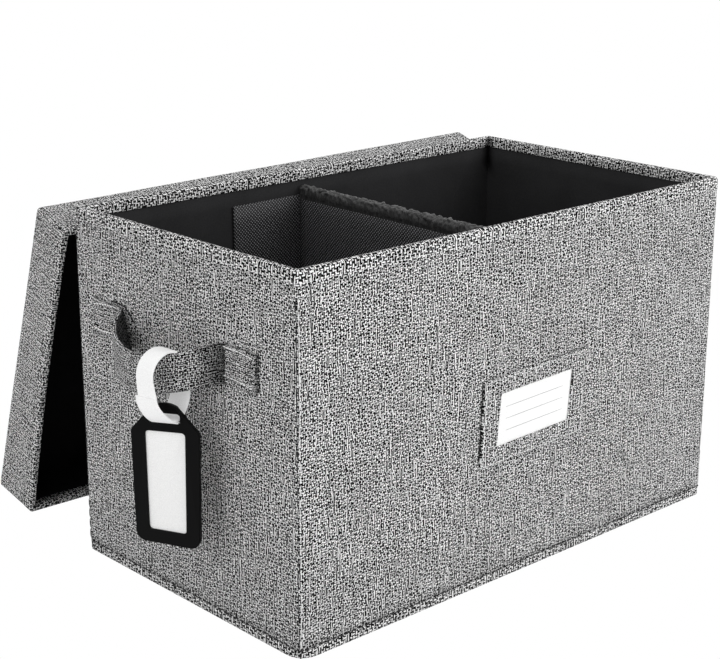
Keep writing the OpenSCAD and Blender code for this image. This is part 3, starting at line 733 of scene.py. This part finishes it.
# %% Pocket patch
# Each ring of the patch is a length, a height and a depth off the wall.
patch = ([(pocket_w + l, pocket_h + h, depth) for l, h, depth in (
             (0, 0, 0.0), (0, 0, 1.1), (-0.5, -0.5, 1.65), (-1.8, -1.8, 1.95), (-8, -7, 2.0))]
         + [(window_w + l, window_h + h, depth) for l, h, depth in (
             (6, 5, 2.0), (1.6, 1.6, 1.95), (0.4, 0.4, 1.7), (0, 0, 1.35), (0, 0, 1.08), (3, 3, 1.05))]
         + [(pocket_w - 10, pocket_h - 8, 1.05), (pocket_w - 12, pocket_h - 9, 0.0)])
edge_skew, window_skew = (-1.8, 0.04), (-1.0, 0.1)   # shift to the right, and lean
label_tilt = 0.03                                    # rise of the level edges
patch_steps = (30, 18, 4)
mouth_low, mouth_half, mouth_depth = 18.0, 34.3, 1.05   # the open top, where the patch stands off the wall

def on_front(x, y, skew, depth):
    """A place on the patch, seen from the front, as a point of the frame."""
    shift, lean = skew
    return [label_x + x + shift + lean * y, -box_w / 2 - depth, label_z + y + label_tilt * x]

rows = []
for l, w, depth in patch:
    outer = l > 70
    spots, _ = ring(l, w, 1.2 if outer else 0.8, patch_steps)
    row = [on_front(x, y, edge_skew if outer else window_skew, depth) for x, y in spots]
    for p in row:
        if p[2] > label_z + mouth_low and abs(p[0] - label_x) < mouth_half:
            p[1] = min(p[1], -box_w / 2 - mouth_depth)
    rows.append(row)
rows = np.array(rows)
wide = np.concatenate([rows, rows[:1]])
wide = np.concatenate([wide, wide[:, :1]], axis=1)
pocket_patch = skin("pocket_patch", rows, wide[..., 0], wide[..., 2], cover_cloth, "box", ["label_pocket"],
                    "cover_fabric")
seam, _ = ring(pocket_w - 2.4, pocket_h - 2.4, 0.8, patch_steps)
stitches("pocket_seam", [on_front(x, y, edge_skew, 1.98) for x, y in seam], [(0, -1, 0)] * len(seam),
         light_thread, "box", length=2.1, gap=0.5, thick=0.45, lift=0.15, closed=True)
# A dark line down each side of the patch is painted shade under its raised edge, drawn as dark stitches.
for name, side, length, gap in (("left", -1, 4.0, 0.6), ("right", 1, 2.0, 1.4)):
    ends = [on_front(side * (pocket_w / 2 + 0.3), y, edge_skew, 0.3) for y in (25, -25)]
    stitches("pocket_edge_shade_" + name, ends, [(side, -1, 0)] * 2, dark_thread, "box", length=length, gap=gap,
             thick=0.6)
print("pocket patch:", len(pocket_patch.data.vertices), "points")

# %% Ruled lines on the card
def rule(name, start, end, width, out, body):
    """A printed line: a very thin strip with soft ends."""
    start, end, out = (np.array(v, float) for v in (start, end, out))
    ahead = (end - start) / np.linalg.norm(end - start)
    beside = np.cross(ahead, out)
    rows = []
    for share in np.linspace(0, 1, 9):
        half = width / 2 * (0.5 if share in (0, 1) else 1.0)
        middle = start + share * (end - start)
        rows.append([middle - beside * half, middle - beside * half + out * 0.03,
                     middle + beside * half + out * 0.03, middle + beside * half])
    run = np.linspace(0, 1, 10) * np.linalg.norm(end - start)
    skin(name, rows, *lengthwise(run, range(5)), rule_ink, body, round_column=False)

def dress(node, material):
    """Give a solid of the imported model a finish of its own."""
    node.data.materials.clear()
    node.data.materials.append(material)

card_y, rule_rise, rule_w = -97.8, 0.75, 0.35
for i, z in enumerate((105.5, 98.5, 91.5)):
    rule("label_rule_%d" % (i + 1), (label_x - 25, card_y, z - rule_rise),
         (label_x + 23, card_y, z + rule_rise), rule_w, (0, -1, 0), "label_card")
dress(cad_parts["label_card"], white_card)
print("card ruled")

# %% [markdown]
# ## Divider
# The divider is a board in the same dotted black cloth as the hook tape. Its top is
# gathered, where the cloth was left long and drawn together, and wings with hook tape hold
# it to the long walls. A cloth simulation could make the gathers, but rows across the top
# edge are quicker and can be set to the real spacing. They are swollen by pleats and by
# uneven noise, and the hollows are marked, so that the cloth is darkened there with painted
# shade. After the photograph, the gathered part is 9 mm high here and the cover below it
# 4.8 mm thick, against 14 and 4.3 mm in the imported model.

# %% Divider cover and gathered top
def slab_skin(name, x, y, z, material, body, stands_for, slot, soft=0.35, n=30):
    """An upright cloth slab: x, y and z are (low, high)."""
    section = [(x[0], z[0] + soft), (x[0] + soft, z[0]), (x[1] - soft, z[0]), (x[1], z[0] + soft)]
    section += [(x[1], v) for v in np.linspace(z[0] + 8, z[1] - 8, 14)]
    section += [(x[1], z[1] - soft), (x[1] - soft, z[1]), (x[0] + soft, z[1]), (x[0], z[1] - soft)]
    section += [(x[0], v) for v in np.linspace(z[1] - 8, z[0] + 8, 14)]
    stations = np.linspace(y[0], y[1], n)
    rows = [[(a, s, b) for a, b in section] for s in stations]
    threads = lengthwise(np.append(stations, y[1]), lengths(section))
    return skin(name, rows, *threads, material, body, stands_for, slot, round_column=False)

sleeve_t, sleeve_low, gather_h = 4.8, 6.5, 9.0   # the gathers start 1 mm below the sleeve's top
slab_skin("divider_sleeve", (divider_x - sleeve_t / 2, divider_x + sleeve_t / 2),
          (-divider_w / 2, divider_w / 2), (sleeve_low, divider_top - gather_h + 1), hook_tape, "divider",
          ["divider_cover"], "lining_fabric")

def gather(y, side):
    """How far the cloth swells at one place: pleats 9.5 mm apart, then noise of two sizes."""
    a = 2 * math.pi * (y + 5.0 * noise.noise(Vector((y / 11.0, side * 0.3, 1.0)))) / 9.5
    puff = abs(math.sin(a + 0.45 * side)) ** 0.6 - 0.6
    coarse = noise.noise(Vector((y / 5.0, side * 0.9, 8.0)))
    return 1.2 * puff + 1.3 * coarse + 0.9 * noise.noise(Vector((y / 2.2, side * 1.3, 4.0)))

gather_half, top_gap, last = 3.2, 0.8, 24   # half its thickness, room above it, and steps over the top
hollow_shade, rows = [], []
stations = np.linspace(-divider_w / 2 + 0.2, divider_w / 2 - 0.2, 360)
for y in stations:
    row = []
    for k in range(last + 1):
        th = math.pi * k / last
        c, s = math.cos(th), math.sin(th)
        rise = s ** 0.45 if 0 < k < last else 0.0
        swell = gather(y, k / 4.0) * s ** 0.6 if 0 < k < last else 0.0
        x = -gather_half * c * (0.8 + 0.2 * rise) - swell * math.copysign(1, c) * abs(c) ** 0.5
        z = divider_top - gather_h + (gather_h - top_gap) * rise + 0.8 * swell * s
        row.append((divider_x + x, y, z))
        # Painted shade: the less the cloth swells here, the darker it is made.
        hollow_shade.append(min(1.0, max(0.0, 0.75 - 0.7 * swell)))
    rows.append(row)
threads = lengthwise(np.append(stations, stations[-1]), lengths([(x, z) for x, y, z in rows[130]]))
ruffle = skin("gathered_top", rows, *threads, gathered_cloth, "divider", ["divider_ruffle"], "lining_fabric",
              round_column=False)
mark_painted_shade(ruffle, hollow_shade)
print("gathered top:", len(ruffle.data.vertices), "points")

# %% Wings with hook tape
wing_low, wing_high, wing_y, wing_t = 20.0, 193.5, 91.0, 1.5

def stand_up(rows, side, middle):
    """Turn a flat panel upright against a long wall."""
    return np.stack([rows[..., 0] + middle, side * (wing_y + wing_t - rows[..., 2]),
                     rows[..., 1] + (wing_high + wing_low) / 2], axis=-1)

for side, node in ((1, "divider_wing_rear"), (-1, "divider_wing_front")):
    low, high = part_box(node)
    middle = (low.x + high.x) / 2 / MM
    panel("wing_" + node.split("_")[-1], (high.x - low.x) / MM, wing_high - wing_low, 0.0, wing_t, hook_tape,
          "divider", [node], "lining_fabric", soft=0.5, put=lambda rows: stand_up(rows, side, middle))
print("wings with hook tape")

# %% [markdown]
# ## Tag, its card and its loop
# The luggage tag is two moulded black plates with a card between them. A flat white band
# passes through its slot and over the strap, with a twist between, and one end laps over
# the other. The plates start as drawn outlines with holes, filled and given a small bevel,
# and are twisted a little along their length, as a hanging tag is. The band is a thin
# section carried round its loop while it turns and leans. Both follow the photograph: the
# packed band is 40.5 mm high, 14 mm wide and turned by 16 degrees at its top, against 35.9,
# 12.4 and 5 here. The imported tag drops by 68 mm, its window is 54.5 mm tall and its slot
# 17.5 x 4.5 mm, against 68.8, 56.7 and 17.8 x 6.6 here.

# %% Loop band
loop_t, loop_d, loop_h, loop_w = 1.2, 24.0, 35.9, 12.4
loop_turn, tag_turn = 5.0, 33.0                      # degrees, at the band's top and at the tag
hang = np.array([-197.66, -22.63, handle_z])         # on the strap, where the band hangs
loop_top = 8.3                                       # above the middle of the strap
tag_hang_z = loop_top - loop_h - 1.3
front_sway, back_sway, low_sway = -0.1, -1.2, -2.4   # how far the soft band leans, at three places

def band_spot(a, out, across, rise=0.0):
    """One point of the band: a round the loop, out through its thickness, across its width."""
    r, reach = loop_d / 2 + loop_t / 2, loop_h / 2 - loop_d / 2
    v = (r + out) * math.cos(a)
    up = (reach if math.sin(a) > 0 else -reach) + (r + out) * math.sin(a) + rise
    down = min(1.0, max(0.0, (loop_h / 2 - up) / loop_h))
    turn = math.radians(loop_turn + (tag_turn - loop_turn) * down ** 2.5)
    lean = front_sway if math.cos(a) < 0 else back_sway
    across += lean * abs(math.cos(a)) ** 0.7 + low_sway * max(0.0, -math.sin(a))
    return hang + (v * math.cos(turn) - across * math.sin(turn), v * math.sin(turn) + across * math.cos(turn),
                   loop_top - loop_h / 2 + up)

half_t, half_w = loop_t / 2, loop_w / 2
one_face = [(half_t, c) for c in np.linspace(-half_w + 0.5, half_w - 0.5, 9)]
one_edge = [(0.35, half_w - 0.12), (0, half_w), (-0.35, half_w - 0.12)]
band_section = one_face + one_edge + [(-o, -c) for o, c in one_face + one_edge]
tiny = 0.001
stations = np.concatenate([np.linspace(turn + tiny, turn + math.pi - tiny, 44) for turn in (0, math.pi)])
rows = [[band_spot(a, o, c) for o, c in band_section] for a in stations]
band_run = lengths([r[0] for r in rows])
skin("tag_band", rows, *lengthwise(band_run, lengths(band_section)), loop_plastic, "loop", ["tag_loop"],
     "loop_plastic")

def lap(name, start, end, width, lift, above, n=26):
    """The wider end of the band, lapped over itself on the outside from one angle to another."""
    half = width / 2
    edge = ([(0.05, -half)] + [(lift, c) for c in np.linspace(-half + 0.3, half - 0.3, 9)] + [(0.05, half)])
    section = ([(half_t + o, c) for o, c in edge]
               + [(half_t - 0.1, c) for c in np.linspace(half - 0.2, -half + 0.2, 9)])
    spots = [(start, above * (1 - i / 4)) for i in range(4)]
    spots += [(a, 0.0) for a in np.linspace(start, end, n - 4)]
    rows = [[band_spot(a, o, c, rise) for o, c in section] for a, rise in spots]
    threads = lengthwise(lengths([r[0] for r in rows]), lengths(section))
    skin(name, rows, *threads, loop_plastic, "loop", slot="loop_plastic", round_column=False)

lap("band_lap", math.pi + 0.02, 1.5 * math.pi - 0.3, loop_w + 1.8, 0.75, 3.2)
print("band of %.0f mm" % band_run[-1])

# %% Tag plates
tag_drop, tag_rise = 68.8, 9.2   # down and up from the slot
tag_w, tag_t, tag_r, neck = 37.0, 3.6, 5.0, 13.0
tag_twist, twist_from, tag_aside = 8.5, 6.0, 0.6   # degrees, from 6 mm below the slot down
tag_window_w, tag_window_h = 23.0, 56.7
window_mid = -5.5 - tag_window_h / 2

def rounded(w, h, r, mid=0.0, n=6):
    spots = []
    for cx, cy, a in ((1, 1, 0), (-1, 1, 90), (-1, -1, 180), (1, -1, 270)):
        spots += [(cx * (w / 2 - r) + x, mid + cy * (h / 2 - r) + y) for x, y in arc((0, 0), r, a, a + 90, n)]
    return spots

def tag_edge():
    half, low_y = tag_w / 2, tag_r - tag_drop
    low = arc((tag_r - half, low_y), tag_r, 180, 270, 8) + arc((half - tag_r, low_y), tag_r, 270, 360, 8)
    shoulder = [(half, -6.6), (half - 0.4, -5.6), (neck / 2 + 0.5, tag_rise - 2.5)]
    crown = [(x, tag_rise - neck + math.sqrt(neck ** 2 - x * x))
             for x in np.linspace(neck / 2 - 0.3, -neck / 2 + 0.3, 9)]
    return low + shoulder + crown + [(-x, y) for x, y in shoulder[::-1]]

def plate(name, outlines, thick, bevel, depth, material, stands_for):
    """A flat moulding from closed outlines; depth is the middle of it behind the tag's front."""
    drawn = bpy.data.curves.new(name, "CURVE")
    drawn.dimensions, drawn.fill_mode = "2D", "BOTH"
    drawn.extrude, drawn.bevel_depth = (thick / 2 - bevel) * MM, bevel * MM
    drawn.bevel_resolution = 3
    for outline in outlines:
        spline = drawn.splines.new("POLY")
        spline.points.add(len(outline) - 1)
        for point, (x, y) in zip(spline.points, outline):
            point.co = (x * MM, y * MM, 0, 1)
        spline.use_cyclic_u = True
    shape = bpy.data.objects.new(name + "_outline", drawn)
    bpy.context.scene.collection.objects.link(shape)
    bpy.context.view_layer.update()
    mesh = bpy.data.meshes.new_from_object(shape.evaluated_get(bpy.context.evaluated_depsgraph_get()))
    bpy.data.objects.remove(shape)
    slot_at = hang + (0, 0, tag_hang_z)
    stand = Matrix.Translation(slot_at * MM) @ Matrix.Rotation(math.radians(tag_turn), 4, "Z")
    upright = Matrix(((0, 0, -1, 0), (-1, 0, 0, 0), (0, 1, 0, 0), (0, 0, 0, 1)))   # it was drawn lying
    mesh.transform(stand @ upright @ Matrix.Translation((tag_aside * MM, 0, (tag_t / 2 - depth) * MM)))
    for point in mesh.vertices:
        fall = (slot_at[2] - twist_from) * MM - point.co.z
        below = min(1.0, max(0.0, fall) / ((tag_drop - twist_from) * MM))
        axis = Vector((hang[0] * MM, hang[1] * MM, point.co.z))
        point.co = axis + Matrix.Rotation(math.radians(-tag_twist * below), 3, "Z") @ (point.co - axis)
    made = finish_piece(mesh, name, material, "tag", stands_for)
    made.data.shade_flat()
    for face in made.data.polygons:
        face.use_smooth = len(face.vertices) == 4
    return made

slot_half, slot_top, slot_low, slot_r, low_r = 8.9, 4.7, -1.9, 2.2, 0.8
slot_hole = []
for side, from_a, r, y, n in ((1, 0, slot_r, slot_top - slot_r, 6), (-1, 90, slot_r, slot_top - slot_r, 6),
                              (-1, 180, low_r, slot_low + low_r, 4), (1, 270, low_r, slot_low + low_r, 4)):
    slot_hole += arc((side * (slot_half - r), y), r, from_a, from_a + 90, n)
window_hole = rounded(tag_window_w, tag_window_h, 2.5, window_mid)
card_shape = rounded(tag_window_w + 3, tag_window_h + 2.5, 0.6, window_mid)
tag_mid = -29.4   # the back plate is drawn in a little towards this height
inset = [(x * 0.985, tag_mid + (y - tag_mid) * 0.992) for x, y in tag_edge()]
front_plate = plate("tag_front", [tag_edge(), slot_hole, window_hole], 1.7, 0.45, 0.85, tag_plastic,
                    ["tag_frame"])
back_plate = plate("tag_back", [inset, slot_hole], 1.85, 0.4, 2.65, tag_plastic, ["tag_frame"])
plate("tag_paper", [card_shape], 0.5, 0.1, 1.45, white_card, ["tag_card"])
print("tag plates:", len(front_plate.data.vertices) + len(back_plate.data.vertices), "points")

# %% [markdown]
# ## Lid
# The lid is a shallow tray of thin board in the same cloth. It stands on its long skirt
# behind the box and leans on the rim. All its pieces are built as it lies closed, open side
# down, and are then put in the leaning place together, which keeps the profile simple. The
# real lid is not quite true, so the same step bends it a little. The flat boards of the
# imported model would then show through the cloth, so the lid's boards are built again here
# too, and bend with it.

# %% Put a lid piece in its leaning place
rim_push = 7.2    # the rim is pushed in at the left end, less towards the foot
foot_tuck = 3.8   # the left foot corner is off the floor
top_rise = 3.4    # the upper edge climbs towards the right
side_out = 2.0    # the left end lies further out
off_wall = 1.3    # the upper right corner is clear of the box
lean = (Matrix.Translation((lid_x, lid_foot_y, 0)) @ Matrix.Rotation(math.radians(lid_lean - 90), 4, "X")
        @ Matrix.Translation((0, -lid_w / 2, 0)))

def leaning(rows):
    """Bend a closed lid out of true, then lean it on the box. upper runs from 0 at the foot to 1
    at the top, left from 0 at the right end to 1 at the left, and deck from 0 at the rim to 1."""
    rows = np.array(rows, float)
    upper = np.clip(0.5 - rows[..., 1] / lid_w, 0, 1)
    left = np.clip(0.5 - rows[..., 0] / lid_l, 0, 1)
    deck, foot = rows[..., 2] / lid_d, (1 - upper) ** 6
    rows[..., 2] += rim_push * np.sin(np.minimum(upper * 1.4, 1) * math.pi / 2) * left ** 1.5 * (1 - deck)
    rows[..., 2] += off_wall * upper * (1 - left)
    rows[..., 1] -= foot_tuck * foot * left ** 2 * (1 - deck) + top_rise * upper * (1 - left)
    rows[..., 0] -= side_out * left
    turn = np.array(lean.to_3x3())
    return rows @ turn.T + np.array(lean.translation)

print("lid leans at %g degrees" % lid_lean)

# %% Cloth of the lid
edge = 2.2   # radius of the edge round the deck
lid_walk = lengths(ring(lid_l, lid_w, corner_r)[0])
sides = ("upper", "foot", "left", "right")
hem_profile = [(-3.7, 7.5), (-3.7, 0.8), (-3.4, 0.15), (-2.8, 0.0), (-0.6, 0.0), (-0.05, 0.4), (0.02, 1.2),
               (0.02, 7.2), (-0.3, 7.5), (-0.9, 7.4), (-0.9, 1.3), (-1.4, 1.0), (-2.2, 1.0), (-2.7, 1.3),
               (-2.7, 7.4)]
skirt_profile = ([(-0.05, 7.3)] + [(0.0, z) for z in np.linspace(9, lid_d - edge - 0.5, 7)]
                 + arc((-edge, lid_d - edge), edge, 0, 90, 5)
                 + [(-edge - 0.6, lid_d - 0.9), (-1.0, lid_d - edge - 1), (-1.0, 7.4)])
wrap("lid_hem", hem_profile, lid_l, lid_w, corner_r, hem_cloth, "lid", ["lid_hem_" + s for s in sides],
     "cover_fabric", put=leaning, slack=0.1, slack_size=30)
lid_skirt = wrap("lid_skirt", skirt_profile, lid_l, lid_w, corner_r, cover_cloth, "lid", ["lid_cover"],
                 "cover_fabric", put=leaning, slack=0.2)
lid_deck = panel("lid_deck", lid_l - 2 * edge, lid_w - 2 * edge, lid_d - 1.05, lid_d, cover_cloth, "lid",
                 ["lid_cover"], "cover_fabric", put=leaning, soft=0.02)
print("lid cover:", len(lid_skirt.data.vertices) + len(lid_deck.data.vertices), "points")

# %% Lining and boards of the lid
tray_profile = ([(-3.05, z) for z in (7.2, 12, 20, 28, 33.0, 34.35)] + [(-2.65, 34.35), (-2.65, 7.2)])
wrap("lid_tray", tray_profile, lid_l, lid_w, sharp_r, lid_lining_shaded, "lid", ["lid_lining"],
     "lining_fabric", walk=lengths(ring(lid_l - 6, lid_w - 6, sharp_r, sharp)[0]), steps=sharp, put=leaning)
panel("lid_ceiling", lid_l - 5.4, lid_w - 5.4, 33.95, 34.38, lid_lining_shaded, "lid", ["lid_lining"],
      "lining_fabric", put=leaning, soft=0.1)
board_profile = [(-1.05, z) for z in (1.35, 10, 20, 30, 34.0)] + [(-2.6, 34.0), (-2.6, 1.35)]
wrap("lid_side_boards", board_profile, lid_l, lid_w, 1.3, stiff_board, "lid",
     ["lid_board_" + s for s in sides], walk=lid_walk, put=leaning)
panel("lid_top_board", lid_l - 2.4, lid_w - 2.4, 34.42, 35.9, stiff_board, "lid", ["lid_board_top"],
      put=leaning)

# %% [markdown]
# ## Boards
# The boards of the box and the divider are sealed in the cloth and show at no pose. They
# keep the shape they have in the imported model, and get the look of grey-brown pressed
# board, so that a copy with the cover off is right as well.

# %% Finish for the boards
boards = [node for name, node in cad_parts.items() if "board" in name and not node.hide_render]
for node in boards:
    dress(node, stiff_board)
print("boards:", len(boards))

# %% [markdown]
# ## Floor and light
# The case stands in a white studio. A wide, level light comes from the camera's right, a
# weaker one from the left, and the surroundings fill in. The floor and the surroundings are
# plain white to the camera and to reflections, and pale matt paper to every other ray, so
# the floor still takes the shadow of the case and sends light back.

# %% White surroundings
def seen_directly(tree):
    """1 for the camera, for reflections and for what shows through, 0 for light that falls on things."""
    rays = tree.nodes.new("ShaderNodeLightPath").outputs
    seen = calc(tree, "MAXIMUM", rays["Is Camera Ray"], rays["Is Glossy Ray"])
    return calc(tree, "MAXIMUM", seen, rays["Is Transmission Ray"])

fill, paper_white = 0.62, 0.8      # light of the surroundings, and how pale the floor is
floor_half, floor_z = 4.0, -0.0004   # metres

studio = bpy.data.worlds.new("studio")
bpy.context.scene.world = studio
studio.use_nodes = True
tree = studio.node_tree
soft = add(tree, "ShaderNodeBackground", {"Color": (1, 1, 1, 1), "Strength": fill})
white = add(tree, "ShaderNodeBackground", {"Color": (1, 1, 1, 1), "Strength": 1.0})
mix = add(tree, "ShaderNodeMixShader", {0: seen_directly(tree), 1: soft.outputs[0], 2: white.outputs[0]})
tree.links.new(mix.outputs[0], tree.nodes["World Output"].inputs[0])

paper = bpy.data.materials.new("floor paper")
paper.use_nodes = True
tree = paper.node_tree
matt = tree.nodes["Principled BSDF"]
matt.inputs["Base Color"].default_value = (paper_white,) * 3 + (1,)
matt.inputs["Roughness"].default_value = 1.0
glow = add(tree, "ShaderNodeEmission", {"Color": (1, 1, 1, 1), "Strength": 1.0})
mix = add(tree, "ShaderNodeMixShader", {0: seen_directly(tree), 1: matt.outputs[0], 2: glow.outputs[0]})
tree.links.new(mix.outputs[0], tree.nodes["Material Output"].inputs[0])
mesh = bpy.data.meshes.new("floor")
floor_corners = [(x * floor_half, y * floor_half, floor_z) for x, y in ((-1, -1), (1, -1), (1, 1), (-1, 1))]
mesh.from_pydata(floor_corners, [], [(0, 1, 2, 3)])
mesh.materials.append(paper)
floor = bpy.data.objects.new("floor", mesh)
bpy.context.scene.collection.objects.link(floor)

# %% Lamps
def lamp(name, at, towards, size, power):
    light = bpy.data.lights.new(name, "AREA")
    light.shape, light.size, light.energy = "SQUARE", size, power
    made = bpy.data.objects.new(name, light)
    bpy.context.scene.collection.objects.link(made)
    made.location = at
    made.rotation_euler = (Vector(towards) - Vector(at)).to_track_quat("-Z", "Y").to_euler()

lit_spot = (0, 0, 0.1)   # the middle of the case; places and sizes in metres, power in watts
lamp("key", (0.9, -2.0, 1.0), lit_spot, 1.4, 26.0)
lamp("side", (-2.0, -0.4, 0.9), lit_spot, 1.2, 10.0)
lamp("top", (0.2, 0.2, 2.4), lit_spot, 1.4, 8.0)
bpy.context.scene.view_settings.view_transform = "Standard"
